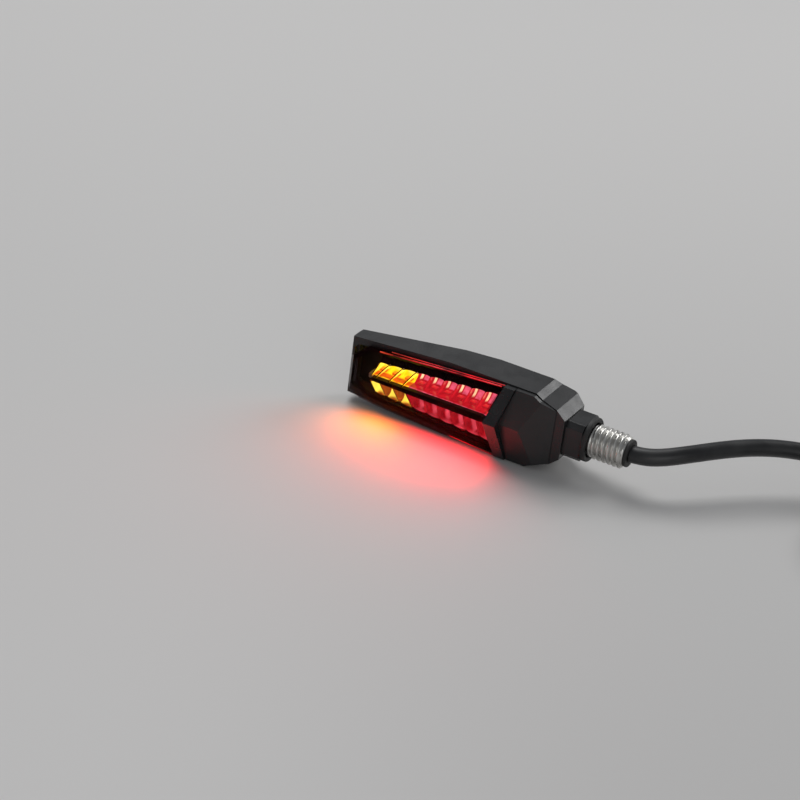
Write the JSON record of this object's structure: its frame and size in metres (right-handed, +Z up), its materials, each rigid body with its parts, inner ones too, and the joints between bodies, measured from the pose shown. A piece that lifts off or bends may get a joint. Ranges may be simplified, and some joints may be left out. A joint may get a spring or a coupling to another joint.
{
  "type": "motorcycle tail light",
  "caption": "Slim LED tail light with turn signal: tapered black housing, smoked ridged lens over two rows of lit reflector cells, short arm, hollow threaded stud and cable.",
  "frame": {"origin": "on the stud's axis, at the washer's outer face, where the stud enters the motorcycle", "axes": "+X along the stud, away from the lamp; -Y the way the light shines; +Z up, the lamp standing on its flat underside"},
  "size_m": [0.1622, 0.052, 0.0184],
  "materials": {
    "black_metal": "satin",
    "steel": "brushed",
    "black_rubber": "matte",
    "smoked_lens": "gloss",
    "black_plastic": "satin",
    "mirror_coat": "gloss",
    "board_mask": "gloss",
    "amber_led": "lit",
    "red_led": "lit",
    "chip_black": "matte",
    "solder": "satin",
    "cable_sheath": "satin",
    "lead_colours": "satin",
    "seal_rubber": "matte",
    "pin_metal": "satin"
  },
  "bodies": {
    "root": {"housing_shell": "black_metal", "mounting_arm": "black_metal", "arm_grub_screw": "steel", "stud_grub_screw": "steel", "mounting_stud": "steel", "rubber_washer": "black_rubber", "cable_bushing": "black_rubber", "lens": "smoked_lens", "lens_gasket": "black_rubber", "chevron_trim": "black_plastic", "centre_rib": "black_plastic", "upper_reflector": "mirror_coat", "lower_reflector": "mirror_coat", "led_board": "board_mask", "upper_amber_leds": "amber_led", "upper_red_leds": "red_led", "lower_amber_leds": "amber_led", "lower_red_leds": "red_led", "board_resistors": "chip_black", "driver_chips": "chip_black", "board_screws": "steel", "inner_cable": "cable_sheath", "inner_leads": "lead_colours", "solder_joints": "solder", "cable": "cable_sheath", "cable_coil": "cable_sheath", "cable_tail": "cable_sheath", "connector_seal": "seal_rubber", "connector_body": "black_plastic", "connector_latch": "black_plastic", "connector_pins": "pin_metal"}
  },
  "joints": []
}
